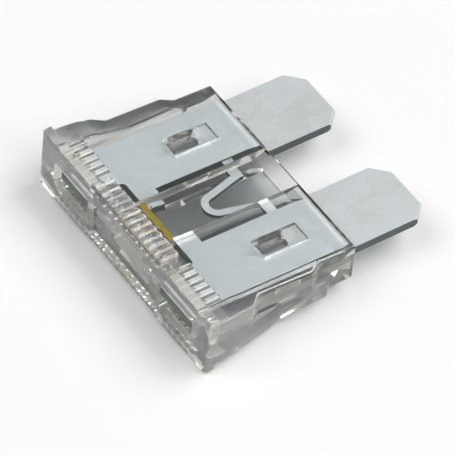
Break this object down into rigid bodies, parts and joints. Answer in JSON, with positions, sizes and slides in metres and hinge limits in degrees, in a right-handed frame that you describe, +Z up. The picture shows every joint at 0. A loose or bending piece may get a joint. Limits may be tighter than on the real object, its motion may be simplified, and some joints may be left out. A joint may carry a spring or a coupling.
{
  "type": "blade fuse",
  "caption": "Clear-bodied blade fuse with two flat zinc blades, a melting loop seen through the housing and an indicator lamp on a small board inside the ribbed head.",
  "frame": {"origin": "centre of the bounding box in plan, at the level of the lower ribs' crests, where it lies on a table", "axes": "+X across the two blades, +Y from the head to the blade tips, +Z up out of a broad face"},
  "size_m": [0.019, 0.0186, 0.005],
  "materials": {
    "clear_plastic": "clear, glossy",
    "zinc": "satin",
    "board_laminate": "satin",
    "copper": "satin",
    "lamp_white": "matte",
    "lamp_amber": "clear, glossy",
    "tinned_metal": "satin",
    "resistor_dark": "satin",
    "solder": "glossy"
  },
  "bodies": {
    "root": {"housing": "clear_plastic", "fuse_element": "zinc", "indicator_board": "board_laminate", "board_pads": "copper", "lamp_base": "lamp_white", "lamp_lens": "lamp_amber", "lamp_terminals": "tinned_metal", "resistor_body": "resistor_dark", "resistor_caps": "tinned_metal", "solder_joints": "solder"}
  },
  "joints": []
}
